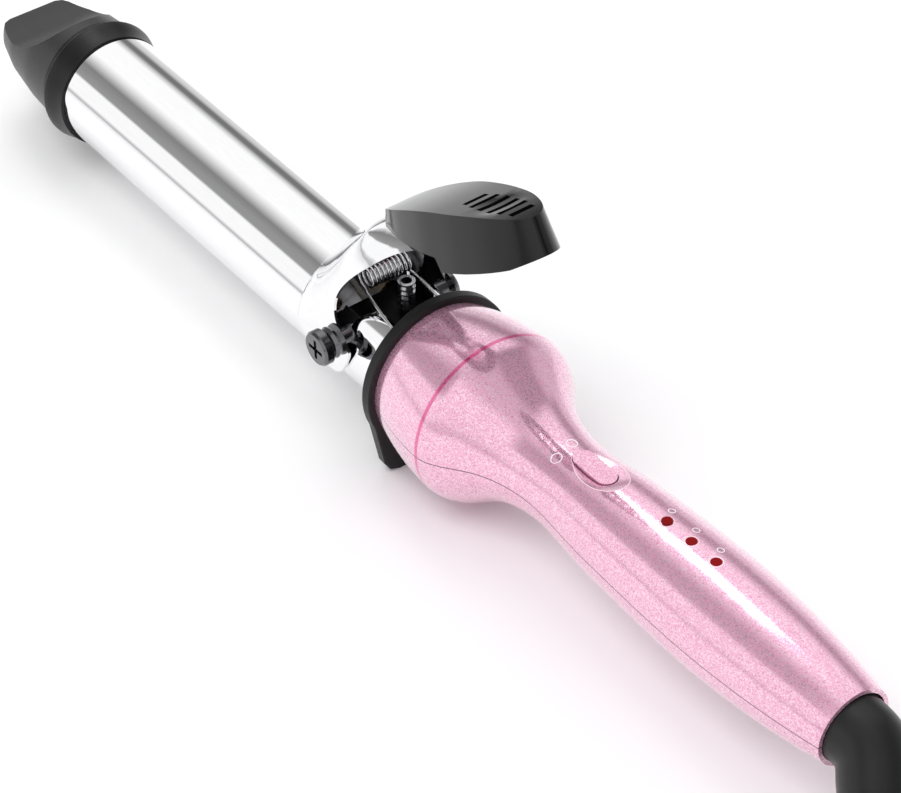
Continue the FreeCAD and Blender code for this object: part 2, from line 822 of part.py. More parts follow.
RINGS_FRONT = f"({BUSHING_FRONT} - drum_flange_width - 9)"
drum = turned([
    (RINGS_FRONT, "2.2"),
    (DRUM_REAR, "2.2"),
    (DRUM_REAR, "drum_radius"),
    (f"{BUSHING_FRONT} - running_gap", "drum_radius"),
    (f"{BUSHING_FRONT} - running_gap", "drum_flange_radius"),
    (f"{BUSHING_FRONT} - drum_flange_width", "drum_flange_radius"),
    (f"{BUSHING_FRONT} - drum_flange_width", "ring_radius - 1"),
    (RINGS_FRONT, "ring_radius - 1"),
])
finish(drum, "swivel_drum")

ring_starts = [f"{RINGS_FRONT} + 1", f"{RINGS_FRONT} + 5"]
slip_rings = [
    ring("ring_radius", "ring_radius - 1", start, f"{start} + ring_width") for start in ring_starts
]
finish(group(*slip_rings), "slip_rings")

brushes = [
    block(
        "ring_width", "brush_thickness", "brush_top + brush_foot", start, "ring_radius + 0.25",
        "-brush_foot",
    )
    for start in ring_starts
]
finish(group(*brushes), "contact_brushes")

# The holder stands on the handle's wall and carries both brushes.
brush_block = block(
    f"{ring_starts[1]} + ring_width - ({ring_starts[0]})", "holder_depth", "2 * holder_half",
    ring_starts[0], "ring_radius + 0.25 + (brush_thickness + holder_depth) / 2", "-holder_half",
)
finish(brush_block, "brush_holder")

retainer = ring("drum_radius + 1.6", "drum_radius", f"{BUSHING_REAR} + running_gap", f"{DRUM_REAR} - 0.3")
finish(retainer, "swivel_retainer")

# --- routed wires and the lead ---------------------------------------------------------------


def rounded_route(points):
    """Straight runs joined by tangent arcs, each as large as its two runs allow."""
    edges = []
    radii = []
    start = points[0]
    for before, corner, after in zip(points, points[1:], points[2:]):
        back = before - corner
        ahead = after - corner
        turn = math.pi - back.getAngle(ahead)
        setback = 0.45 * min(back.Length, ahead.Length)
        radius = setback / math.tan(turn / 2)
        enter = corner + back * (setback / back.Length)
        leave = corner + ahead * (setback / ahead.Length)
        middle_way = (back / back.Length + ahead / ahead.Length).normalize()
        depth = radius / math.cos(turn / 2) - radius
        edges.append(Part.LineSegment(start, enter).toShape())
        edges.append(Part.Arc(enter, corner + middle_way * depth, leave).toShape())
        radii.append(radius)
        start = leave
    edges.append(Part.LineSegment(start, points[-1]).toShape())
    return Part.Wire(edges), radii


def tube(points, radius, name=None):
    """A round tube along a rounded route; a named one prints its bends and its volume."""
    path, radii = rounded_route(points)
    section = Part.Wire([Part.Circle(points[0], points[1] - points[0], radius).toShape()])
    solid = path.makePipeShell([section], True, True)
    if name:
        ideal = math.pi * radius ** 2 * path.Length
        bends = ", ".join(f"{value:.0f}" for value in radii)
        ratio = solid.Volume / ideal
        print(f"{name}: length {path.Length:.1f}, bend radii {bends}, volume ratio {ratio:.4f}")
    return solid


def wire_pair(points, label, spread):
    """Two insulated wires side by side."""
    wires = []
    for side in (-1, 1):
        shifted = [point + Vector(0, side * spread, 0) for point in points]
        wires.append(tube(shifted, size["wire_radius"]))
    shaped(Part.makeCompound(wires), label)


heater_end = -size["core_front"] + (size["core_length"] + size["heater_length"]) / 2
board_x = size["board_front"]
board_end = board_x + size["board_length"]
board_middle = size["board_top"] - size["board_thickness"] / 2
passage = -0.46 * size["barrel_radius"]
wire_pair([
    Vector(heater_end, 0, 0),
    Vector(heater_end + 10, 0, -0.5),
    Vector(heater_end + 24, 0, passage),
    Vector(heater_end + 50, 0, passage - 1),
    Vector(board_x - 14, 0, passage + 1),
    Vector(board_x - 6, 0, board_middle),
    Vector(board_x, 0, board_middle),
], "heater_leads", 5.0)

ring_x = size["handle_length"] - 2.6 - size["bushing_width"] - size["drum_flange_width"] - 9
brush_y = size["ring_radius"] + 0.25
supply_wires = []
# Each wire: where it leaves the board, how it passes the screw boss, and its slip ring's start.
for start_y, run_y, rise, start in ((5.6, brush_y, 3.0, 1.0), (3.4, 4.5, 3.8, 5.0)):
    brush_x = ring_x + start + size["ring_width"] / 2
    supply_wires.append(
        tube([
            Vector(board_end, start_y, board_middle),
            Vector(board_end + 5, start_y, board_middle),
            Vector(board_end + 11, run_y, size["brush_top"] + rise),
            Vector(brush_x - 3, run_y, size["brush_top"] + rise),
            Vector(brush_x, brush_y, size["brush_top"] + 2.4),
            Vector(brush_x, brush_y, size["brush_top"]),
        ], size["wire_radius"])
    )
shaped(Part.makeCompound(supply_wires), "power_leads")

# The lead's route: out of the swivel, down to the table, round to the coil.
FLOOR = -size["axis_height"]
CORD = size["cord_radius"]
COIL_FLOOR = FLOOR + size["tie_thickness"]
LEAD_ROUTE = [
    Vector(size["handle_length"] - 1.1, 0, 0),
    Vector(162, 0, -1.2),
    Vector(175, -9.5, -11.0),
    Vector(188, -24, -18.5),
    Vector(201, -38.5, FLOOR + CORD),
    Vector(218.8, -56.6, COIL_FLOOR + CORD),
    Vector(227.2, -64.0, COIL_FLOOR + CORD),
]
COIL_CENTRE = Vector(253, -26, COIL_FLOOR)
BOOT_END = (LEAD_ROUTE[3] + LEAD_ROUTE[4]) * 0.5


def strain_relief():
    """A moulded boot: full at the swivel, tapering to the cord's size at its tail."""
    path, _ = rounded_route(LEAD_ROUTE[:4] + [BOOT_END])
    count = 12
    steps = path.discretize(Number=count)
    sections = []
    for i, point in enumerate(steps):
        ahead = steps[min(i + 1, count - 1)] - steps[max(i - 1, 0)]
        direction = Vector(1, 0, 0) if i == 0 else ahead
        taper = max(0.0, (i / (count - 1) - 0.45) / 0.55) ** 1.2
        radius = size["boot_radius"] - taper * (size["boot_radius"] - size["boot_tail_radius"])
        sections.append(Part.Wire([Part.Circle(point, direction, radius).toShape()]))
    return Part.makeLoft(sections, True, False)


shaped(strain_relief(), "cord_boot")
shaped(tube([BOOT_END] + LEAD_ROUTE[4:], CORD, "cord_lead"), "cord_lead")

TURN = 2 * CORD
COIL_INSIDE = size["coil_turn_radius"] - 2 * TURN
COIL_STEP = COIL_INSIDE + 3 * TURN
COIL_OUTSIDE = COIL_INSIDE + 4 * TURN


def coil_body():
    """The coil's outer shape: four turns side by side below, three above."""
    corners = [
        Vector(COIL_INSIDE, 0, 0),
        Vector(COIL_OUTSIDE, 0, 0),
        Vector(COIL_OUTSIDE, 0, TURN),
        Vector(COIL_STEP, 0, TURN),
        Vector(COIL_STEP, 0, 2 * TURN),
        Vector(COIL_INSIDE, 0, 2 * TURN),
        Vector(COIL_INSIDE, 0, 0),
    ]
    face = Part.Face(Part.makePolygon(corners))
    solid = face.revolve(Vector(), Vector(0, 0, 1), 360)
    solid.Placement = Placement(COIL_CENTRE, UPRIGHT)
    return solid


shaped(coil_body(), "cord_coil")


def coil_tie():
    """A flat band round the bundle of turns, on the coil's -Y side."""
    slack = 0.7
    wall = size["tie_thickness"]
    width = size["tie_width"]
    long = COIL_OUTSIDE - COIL_INSIDE + 2 * slack
    tall = 2 * TURN + slack
    corner = COIL_CENTRE + Vector(-width / 2, -COIL_OUTSIDE - slack, 0)
    inner = Part.makeBox(width, long, tall, corner)
    outer = Part.makeBox(width, long + 2 * wall, tall + 2 * wall, corner - Vector(0, wall, wall))
    return outer.cut(inner)


shaped(coil_tie(), "cord_tie")

# The tail leaves the upper turns and curls in over them, and the plug lies across the coil.
PLUG_REST = COIL_FLOOR + 2 * TURN
PLUG_AXIS = PLUG_REST + size["plug_height"] / 2
TAIL_ROUTE = [
    COIL_CENTRE + Vector(13.4, -36.9, 3 * CORD),
    COIL_CENTRE + Vector(21.9, -33.8, 3.2 * CORD),
    COIL_CENTRE + Vector(31.1, -24.0, 3.9 * CORD),
    COIL_CENTRE + Vector(35.0, -11.1, 4.9 * CORD),
    COIL_CENTRE + Vector(32.7, 2.2, 5.8 * CORD),
    COIL_CENTRE + Vector(24.6, 13.0, 6.3 * CORD),
    COIL_CENTRE + Vector(12.5, 19.1, PLUG_AXIS - COIL_FLOOR),
    COIL_CENTRE + Vector(2.5, 19.1, PLUG_AXIS - COIL_FLOOR),
]
shaped(tube(TAIL_ROUTE, CORD, "cord_tail"), "cord_tail")


PLUG_NECK = 16.0


def plug():
    """A flat two-pin plug's moulded body with its tapered neck, pointing along -X."""
    end = TAIL_ROUTE[-1]
    front = end.x - PLUG_NECK - size["plug_body_length"]
    body = Part.makeBox(
        size["plug_body_length"], size["plug_width"], size["plug_height"],
        Vector(front, end.y - size["plug_width"] / 2, PLUG_REST),
    )
    body = body.makeChamfer(2.5, body.Edges)
    neck = Part.makeCone(CORD + 1.2, CORD + 2.2, PLUG_NECK + 4, end, Vector(-1, 0, 0))
    return body.fuse(neck)


def plug_blades():
    """Two flat blades, set into the plug's face."""
    end = TAIL_ROUTE[-1]
    front = end.x - PLUG_NECK - size["plug_body_length"]
    blades = []
    for side in (-1, 1):
        blades.append(
            Part.makeBox(
                size["blade_length"], size["blade_thickness"], size["blade_width"],
                Vector(
                    front - size["blade_length"],
                    end.y + side * size["blade_spacing"] / 2 - size["blade_thickness"] / 2,
                    PLUG_AXIS - size["blade_width"] / 2,
                ),
            )
        )
    return Part.makeCompound(blades)


shaped(plug(), "plug_body")
shaped(plug_blades(), "plug_blades")

# --- clamp: half pipe, yoke and lever strip in one pressing ---------------------------------

PIVOT = Vector(-size["pivot_station"], 0, size["pivot_rise"])
CREASE = -size["crease_station"]
CLAMP_INNER = size["barrel_radius"] + size["clamp_gap"]
CLAMP_OUTER = CLAMP_INNER + size["clamp_wall"]


def yoke_section(x, half_width, shoulder, crown, peak, foot):
    """An upturned U across the barrel: straight sides up to shoulder, then an arch.

    The arch is a half ellipse where peak is 1, and more pointed where peak is larger.
    """
    steps = 8
    turns = [math.pi * i / steps for i in range(steps + 1)]
    upper = [
        Vector(x, half_width * math.cos(a), shoulder + (crown - shoulder) * math.sin(a) ** peak)
        for a in turns
    ]
    arch = Part.BSplineCurve()
    arch.interpolate(upper)
    corners = [upper[-1], Vector(x, -half_width, foot), Vector(x, half_width, foot), upper[0]]
    return Part.Wire([arch.toShape()] + Part.makePolygon(corners).Edges)


def yoke_solid(wall, foot):
    """The yoke's filled form, drawn in by wall from its outer face."""
    wide = size["yoke_half_width"]
    edge = (CLAMP_INNER + CLAMP_OUTER) / 2
    seam = size["clamp_wall"] * 0.25
    start = edge - seam if wall else edge + seam
    sections = [yoke_section(CREASE - 0.5, start, 0, start, 1, foot)]
    for back, shoulder, crown, peak in YOKE_CROWN:
        # The steeper the crown climbs, the further down the same wall reaches.
        slope = 1.35 if back < YOKE_STEEP_END else 1.1
        rise = crown - wall * slope
        sections.append(yoke_section(CREASE + back, wide - wall, shoulder, rise, peak, foot))
    return Part.makeLoft(sections, True, False)


YOKE_STEEP_END = 8.0
# Distance behind the crease, height of the shoulder, height of the crown, peak of the arch.
YOKE_CROWN = (
    (2.6, 1.5, 20.2, 1.3),
    (5.8, 3.5, 24.6, 1.4),
    (10.8, 6.0, 30.8, 1.3),
    (16.8, 8.0, 36.6, 1.1),
    (22.8, 8.0, 39.8, 1.0),
    (28.8, 8.0, 41.6, 1.0),
    (34.8, 8.0, 43.2, 1.0),
    (42.8, 8.0, 45.8, 1.0),
)


def yoke_side():
    """The yoke's side outline: ears round the pivots, then the arch over the window."""
    px, pz = PIVOT.x, PIVOT.z
    edge = [
        (CREASE - 0.5, size["clamp_edge"] + 0.3),
        (CREASE + 2.0, pz - 7.3),
        (px - 9.5, pz - 10.2),
        (px - 4.4, pz - 12.3),
        (px + 0.2, pz - 10.6),
        (px + 3.2, pz - 6.0),
        (px + 4.3, pz - 1.8),
        (px + 2.4, pz + 0.6),
        (px + 0.2, pz + 3.5),
        (px - 1.8, pz + 7.6),
        (px - 1.6, pz + 12.0),
        (px + 0.6, pz + 16.6),
        (px + 7.5, pz + 25.0),
        (px + 13.6, pz + 31.0),
        (px + 22.0, pz + 36.4),
    ]
    return slab(closed_face([(px + 22.0, 70), (CREASE - 0.5, 70)], edge), 30)


PAD_HOME = Vector(size["pad_station"], 0, size["pad_rise"])
PAD_TILT = Rotation(Vector(0, 1, 0), -size["pad_tilt"])
STRIP_LEVEL = -9.0


def on_pad(along, across, above):
    """A point given along, across and above the thumb pad, in the clamp's own frame."""
    return PAD_HOME + PAD_TILT.multVec(Vector(along, across, above))


def lever_strip():
    """The flat end of the pressing, which carries the thumb pad."""
    low = [Vector(-5.5, 0, 41.9), Vector(3.0, 0, 46.9)]
    low += [on_pad(-23, 0, STRIP_LEVEL), on_pad(-9, 0, STRIP_LEVEL)]
    lift = PAD_TILT.multVec(Vector(0, 0, size["strip_thickness"]))
    corners = low + [point + lift for point in reversed(low)]
    face = Part.Face(Part.makePolygon(corners + corners[:1]))
    return slab(face, size["strip_width"] / 2)


PAD_SCREWS = (-20.5, -13.0)


def clamp():
    """The whole pressing: half pipe, yoke, ears with pivot holes, and lever strip."""
    yoke = yoke_solid(0, -12).cut(yoke_solid(size["yoke_wall"], -16))
    yoke = yoke.common(yoke_side())
    length = size["barrel_reach"] - size["clamp_clearance"] + CREASE
    front = CREASE - length
    pipe = Part.makeCylinder(CLAMP_OUTER, length, Vector(front, 0, 0), Vector(1, 0, 0))
    pipe = pipe.cut(Part.makeCylinder(CLAMP_INNER, length, Vector(front, 0, 0), Vector(1, 0, 0)))
    below = Part.makeBox(length, 60, 40, Vector(front, -30, size["clamp_edge"] - 40))
    pipe = pipe.cut(below)
    round_off = size["clamp_round"]
    corner = Part.makeBox(round_off, 60, round_off, Vector(front, -30, size["clamp_edge"]))
    corner_centre = Vector(front + round_off, -30, size["clamp_edge"] + round_off)
    corner = corner.cut(Part.makeCylinder(round_off, 60, corner_centre, Vector(0, 1, 0)))
    pipe = pipe.cut(corner)
    sleeve = size["bushing_sleeve"] + size["running_gap"]
    holes = [Part.makeCylinder(sleeve, 60, PIVOT - Vector(0, 30, 0), Vector(0, 1, 0))]
    up = PAD_TILT.multVec(Vector(0, 0, 1))
    for along in PAD_SCREWS:
        holes.append(Part.makeCylinder(1.3, 8, on_pad(along, 0, STRIP_LEVEL - 4), up))
    whole = pipe.fuse([yoke, lever_strip()])
    return whole.cut(holes)


shaped(clamp(), "clamp")

# --- thumb pad -------------------------------------------------------------------------------


PAD_HALF_PLAN = (
    (-43.5, 2.6), (-40, 4.9), (-34.5, 6.7), (-26, 8.1), (-20, 8.7), (-13, 8.8),
    (-6, 8.6), (-0.9, 8.1), (4.6, 7.3), (10.2, 5.7), (14.5, 3.4),
)
PAD_NOSE = 16.4
DISH_RADIUS = 49.5


def pad_plan(level, inset, flare):
    """The pad's leaf outline at a level above the pad's centre."""
    spread = flare - inset
    near = []
    for i, (along, across) in enumerate(PAD_HALF_PLAN):
        start = inset - flare if i == 0 else 0
        near.append(Vector(along + start, -max(across + spread, 0.6), level))
    nose = Vector(PAD_NOSE + spread, 0, level)
    far = [Vector(point.x, -point.y, level) for point in reversed(near)]
    curve = Part.BSplineCurve()
    curve.interpolate(near + [nose] + far)
    return Part.Wire([curve.toShape(), Part.LineSegment(far[-1], near[0]).toShape()])


def pad_block(inset):
    """The pad's leaf-shaped column between its lowest and highest levels."""
    return Part.makeLoft([pad_plan(-18, inset, 3.6), pad_plan(4, inset, -0.1)], True, True)


def pad_shape():
    """The thumb pad: a hollow cap with a finger dish and a row of vents."""
    wall = size["pad_wall"]
    top = [(-53, -9.6), (-47, -7.3), (-41, -5.4), (-34.5, -3.8), (-26, -2.1), (-16.5, -0.8), (-6, -0.1),
           (5, 0.25), (12, 0.0), (20, -0.8), (27, -1.8)]
    bottom = [(27, -7.4), (12, -12.0), (-2, -13.9), (-12.0, -14.9), (-14.2, -11.6), (-26, -11.0),
              (-38, -10.4), (-45, -11.0), (-53, -12.6)]
    outside = pad_block(0).common(slab(closed_face(bottom, top), 20))
    hollow_top = [(a, b - wall) for a, b in top]
    hollow = pad_block(wall).common(slab(closed_face([(27, -30), (-53, -30)], hollow_top), 20))
    for along in PAD_SCREWS:
        boss = Part.makeCylinder(2.6, 9, Vector(along, 0, STRIP_LEVEL + size["strip_thickness"]))
        hollow = hollow.cut(boss)
    solid = outside.cut(hollow)
    centre = 1.75
    cuts = [Part.makeSphere(DISH_RADIUS, Vector(centre, 0, DISH_RADIUS - 0.25), Vector(0, 1, 0))]
    count = int(size["pad_slots"])
    pitch = size["pad_slot_pitch"]
    for i in range(count):
        offset = (i - (count - 1) / 2) * pitch
        reach = size["pad_slot_length"] * math.sqrt(1 - (offset / (0.62 * count * pitch)) ** 2)
        width = size["pad_slot_width"]
        cuts.append(Part.makeBox(width, reach, 8, Vector(centre + offset - width / 2, -reach / 2, -4)))
    for along in PAD_SCREWS:
        cuts.append(Part.makeCylinder(0.9, 5, Vector(along, 0, STRIP_LEVEL)))
    return solid.cut(cuts)


def tilted(shape):
    """A piece drawn about the pad's centre, put in its place on the lever."""
    shape.Placement = Placement(PAD_HOME, PAD_TILT)
    return shape


shaped(tilted(pad_shape()), "thumb_pad")


def pad_screw(along):
    """A small screw up through the strip into the pad."""
    head = Part.makeCylinder(2.1, 1.4, Vector(along, 0, STRIP_LEVEL - 1.4))
    shank = Part.makeCylinder(0.9, 4.5, Vector(along, 0, STRIP_LEVEL))
    return head.fuse(shank)


shaped(tilted(Part.makeCompound([pad_screw(along) for along in PAD_SCREWS])), "pad_screws")

doc.recompute()
faulty = [piece.Name for piece in doc.Objects if "Invalid" in piece.State or "Error" in piece.State]
if faulty:
    raise RuntimeError(f"these pieces failed: {faulty}")
os.makedirs("parts", exist_ok=True)
for piece in nodes:
    if piece.Shape.isNull() or not piece.Shape.isValid():
        raise RuntimeError(f"{piece.Label} is not a valid shape")
    print(piece.Label, len(piece.Shape.Solids), round(piece.Shape.Volume, 1), piece.Shape.BoundBox)
    piece.Shape.exportStep(f"parts/{piece.Label}.step")
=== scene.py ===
import bmesh
import bpy
import math
from mathutils import Matrix, Vector
from mathutils.bvhtree import BVHTree


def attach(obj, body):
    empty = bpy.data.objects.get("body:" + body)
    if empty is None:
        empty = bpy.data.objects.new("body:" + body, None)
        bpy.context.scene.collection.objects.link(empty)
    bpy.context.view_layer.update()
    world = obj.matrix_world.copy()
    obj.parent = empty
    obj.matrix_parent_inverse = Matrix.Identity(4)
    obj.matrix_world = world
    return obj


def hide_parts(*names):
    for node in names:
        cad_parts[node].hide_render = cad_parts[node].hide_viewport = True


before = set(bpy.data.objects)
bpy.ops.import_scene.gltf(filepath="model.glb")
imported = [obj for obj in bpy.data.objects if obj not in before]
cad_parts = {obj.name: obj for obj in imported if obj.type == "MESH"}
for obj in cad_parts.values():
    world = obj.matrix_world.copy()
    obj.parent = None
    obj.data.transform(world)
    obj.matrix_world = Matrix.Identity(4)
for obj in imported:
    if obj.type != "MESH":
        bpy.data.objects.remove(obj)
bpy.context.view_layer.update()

# A curling iron, in metres.  The barrel lies along X with the cool tip at -X; stations are
# measured from the joint face where the collar meets the handle, heights from the axis.
JOINT = Vector((0.02295, 0.0, 0.0254))
CREASE_X = JOINT.x + 0.0224


def at(x, y, z):
    """A point given in millimetres from the joint face and the barrel's axis."""
    return JOINT + Vector((x, y, z)) * 0.001


# --- camera --------------------------------------------------------------------------------

# Where the camera stands, in metres, and the three directions of its view.
CAMERA_PLACE = (0.50813, -0.33782, 0.52871)
RIGHT = Vector((0.5943, 0.8038, -0.0279)).normalized()
TOWARD = Vector((0.6186, -0.4347, 0.6545)).normalized()
UP = TOWARD.cross(RIGHT).normalized()
camera_data = bpy.data.cameras.new("view")
camera_data.sensor_width = 36.0
camera_data.lens = 122.67
camera_data.clip_end = 20.0
camera = bpy.data.objects.new("view", camera_data)
bpy.context.scene.collection.objects.link(camera)
bpy.context.scene.camera = camera
bpy.context.scene.view_settings.view_transform = "Standard"
view_turn = Matrix((RIGHT, UP, TOWARD)).transposed().to_4x4()
camera.matrix_world = Matrix.Translation(CAMERA_PLACE) @ view_turn

# --- materials -----------------------------------------------------------------------------


def new_material(name):
    material = bpy.data.materials.new(name)
    material.use_nodes = True
    tree = material.node_tree
    return material, tree, tree.nodes["Principled BSDF"]


def node(tree, kind, **settings):
    made = tree.nodes.new(kind)
    for key, value in settings.items():
        setattr(made, key, value)
    return made


def object_place(tree, scale=(1, 1, 1)):
    """Object coordinates, stretched."""
    place = node(tree, "ShaderNodeTexCoord")
    mapping = node(tree, "ShaderNodeMapping")
    mapping.inputs["Scale"].default_value = scale
    tree.links.new(place.outputs["Object"], mapping.inputs["Vector"])
    return mapping.outputs["Vector"]


def ramp(tree, source, stops):
    made = node(tree, "ShaderNodeValToRGB")
    elements = made.color_ramp.elements
    while len(elements) < len(stops):
        elements.new(0.5)
    for element, (position, colour) in zip(elements, stops):
        element.position = position
        element.color = (*colour, 1) if len(colour) == 3 else colour
    tree.links.new(source, made.inputs["Fac"])
    return made.outputs["Color"]


def grey(value):
    return (value, value, value)


def add_bump(tree, shader, height, distance, strength=1.0, socket="Normal"):
    bump = node(tree, "ShaderNodeBump")
    bump.inputs["Strength"].default_value = strength
    bump.inputs["Distance"].default_value = distance
    tree.links.new(height, bump.inputs["Height"])
    tree.links.new(bump.outputs["Normal"], shader.inputs[socket])
    return bump


def noise(tree, place, scale, detail=3.0, rough=0.5):
    made = node(tree, "ShaderNodeTexNoise")
    made.inputs["Scale"].default_value = scale
    made.inputs["Detail"].default_value = detail
    made.inputs["Roughness"].default_value = rough
    tree.links.new(place, made.inputs["Vector"])
    return made.outputs["Fac"]


def polished_metal(name, colour, roughness, spread=0.03, brush=(1, 1, 1), bump=0.0):
    """Bare metal with faint polishing marks."""
    material, tree, shader = new_material(name)
    shader.inputs["Metallic"].default_value = 1.0
    place = object_place(tree, brush)
    marks = noise(tree, place, 900.0, 4.0)
    tone = ramp(tree, marks, [(0.3, [c * 0.97 for c in colour]), (0.7, colour)])
    tree.links.new(tone, shader.inputs["Base Color"])
    rough = ramp(tree, marks, [(0.3, grey(roughness)), (0.75, grey(roughness + spread))])
    tree.links.new(rough, shader.inputs["Roughness"])
    if bump:
        add_bump(tree, shader, marks, bump, 0.2)
    return material


def moulded(name, colour, roughness, grain=600.0, depth=0.00004, coat=0.0, vary=0.12, specular=0.5):
    """Moulded plastic or rubber: a slight mottle, and a fine grain in the skin."""
    material, tree, shader = new_material(name)
    place = object_place(tree)
    cloud = noise(tree, place, 90.0, 4.0)
    low = [c * (1 - vary) for c in colour]
    high = [min(1.0, c * (1 + vary)) for c in colour]
    tree.links.new(ramp(tree, cloud, [(0.3, low), (0.7, high)]), shader.inputs["Base Color"])
    skin = noise(tree, place, grain, 3.0, 0.6)
    rough = ramp(tree, skin, [(0.3, grey(roughness * 0.92)), (0.7, grey(min(1.0, roughness * 1.08)))])
    tree.links.new(rough, shader.inputs["Roughness"])
    shader.inputs["Coat Weight"].default_value = coat
    shader.inputs["Coat Roughness"].default_value = 0.04
    shader.inputs["Specular IOR Level"].default_value = specular
    if depth:
        add_bump(tree, shader, skin, depth, 0.35)
    return material


def line_mask(tree, coordinate, place, half_width):
    """1 where a coordinate is within half_width of place, falling smoothly to 0 at twice that."""
    away = node(tree, "ShaderNodeMath", operation="SUBTRACT")
    tree.links.new(coordinate, away.inputs[0])
    away.inputs[1].default_value = place
    size = node(tree, "ShaderNodeMath", operation="ABSOLUTE")
    tree.links.new(away.outputs[0], size.inputs[0])
    mask = node(tree, "ShaderNodeMapRange", interpolation_type="SMOOTHSTEP")
    mask.inputs["From Min"].default_value = half_width
    mask.inputs["From Max"].default_value = 2 * half_width
    mask.inputs["To Min"].default_value = 1.0
    mask.inputs["To Max"].default_value = 0.0
    tree.links.new(size.outputs[0], mask.inputs["Value"])
    return mask.outputs["Result"]


def tint(tree, base, colour, mask):
    """Lay a colour over another where the mask is 1."""
    mix = node(tree, "ShaderNodeMix", data_type="RGBA")
    tree.links.new(mask, mix.inputs["Factor"])
    tree.links.new(base, mix.inputs["A"])
    mix.inputs["B"].default_value = (*colour, 1)
    return mix.outputs["Result"]


def glitter(name, light, middle, dark, flake=3600.0, parting_line_and_crease_shade=False):
    """Coloured foil flakes, each tilted a little, under a clear gloss coat."""
    material, tree, shader = new_material(name)
    place = object_place(tree)
    flakes = node(tree, "ShaderNodeTexVoronoi")
    flakes.inputs["Scale"].default_value = flake
    tree.links.new(place, flakes.inputs["Vector"])
    chance = node(tree, "ShaderNodeSeparateColor")
    tree.links.new(flakes.outputs["Color"], chance.inputs["Color"])
    tone = ramp(
        tree, chance.outputs["Red"],
        [(0.0, dark), (0.2, middle), (0.66, middle), (0.74, light), (1.0, light)],
    )
    if parting_line_and_crease_shade:
        # Painted shade: the deep pink line along the crease stands in for the shade at the crease's
        # edge. The dark line at the parting between the shells is the joint's own colour.
        split = node(tree, "ShaderNodeSeparateXYZ")
        tree.links.new(place, split.inputs["Vector"])
        painted_crease_shade = line_mask(tree, split.outputs["X"], CREASE_X, 0.00035)
        tone = tint(tree, tone, (0.72, 0.10, 0.30), painted_crease_shade)
        parting = line_mask(tree, split.outputs["Z"], JOINT.z, 0.00010)
        tone = tint(tree, tone, (0.10, 0.012, 0.040), parting)
    tree.links.new(tone, shader.inputs["Base Color"])
    foil = ramp(tree, chance.outputs["Red"], [(0.66, grey(0.5)), (0.74, grey(0.8))])
    tree.links.new(foil, shader.inputs["Metallic"])
    rough = ramp(tree, chance.outputs["Green"], [(0.0, grey(0.10)), (1.0, grey(0.26))])
    tree.links.new(rough, shader.inputs["Roughness"])
    add_bump(tree, shader, chance.outputs["Blue"], 0.00010, 0.07)
    shader.inputs["Coat Weight"].default_value = 1.0
    shader.inputs["Coat Roughness"].default_value = 0.02
    shader.inputs["Coat IOR"].default_value = 1.75
    return material


chrome = polished_metal("chrome", (0.93, 0.93, 0.94), 0.035, 0.02, (0.15, 1, 1))
steel = polished_metal("steel", (0.62, 0.62, 0.64), 0.16, 0.08)
spring_steel = polished_metal("spring_steel", (0.70, 0.70, 0.71), 0.14, 0.06)
gunmetal = polished_metal("gunmetal", (0.16, 0.16, 0.17), 0.17, 0.06)
aluminium = polished_metal("aluminium", (0.78, 0.78, 0.80), 0.35, 0.1)
brass = polished_metal("brass", (0.83, 0.66, 0.34), 0.25, 0.08)
blade_metal = polished_metal("blade_metal", (0.76, 0.70, 0.52), 0.22, 0.08)
pink = glitter("pink_glitter", (0.95, 0.62, 0.76), (0.82, 0.41, 0.57), (0.62, 0.25, 0.40), parting_line_and_crease_shade=True)
cap_grey = moulded("cap_grey", (0.024, 0.024, 0.025), 0.36, 900.0, 0.00003, specular=0.36)
flange_black = moulded("flange_black", (0.006, 0.006, 0.006), 0.36, 900.0, 0.00003, specular=0.3)
collar_black = moulded("collar_black", (0.007, 0.007, 0.007), 0.45, 900.0, 0.00003, specular=0.3)
bracket_black = moulded("bracket_black", (0.006, 0.006, 0.006), 0.3, 900.0, 0.00002)
pad_black = moulded("pad_black", (0.004, 0.004, 0.004), 0.12, 900.0, 0.0, specular=0.36)
rubber = moulded("rubber", (0.011, 0.011, 0.011), 0.36, 700.0, 0.00003, specular=0.35)
plug_rubber = moulded("plug_rubber", (0.011, 0.011, 0.011), 0.5, 700.0, 0.00005, specular=0.35)
wire_sleeve = moulded("wire_sleeve", (0.70, 0.67, 0.60), 0.5)
inner_plastic = moulded("inner_plastic", (0.34, 0.32, 0.29), 0.5)
ceramic = moulded("ceramic", (0.86, 0.84, 0.80), 0.4)
film = moulded("film", (0.65, 0.40, 0.10), 0.3)
board_green = moulded("board_green", (0.03, 0.18, 0.08), 0.3)
button_pink = glitter("button_pink", (0.93, 0.58, 0.72), (0.78, 0.36, 0.52), (0.60, 0.24, 0.38))
lens_red = moulded("lens_red", (0.20, 0.0005, 0.0015), 0.3, 900.0, 0.0, specular=0.08)

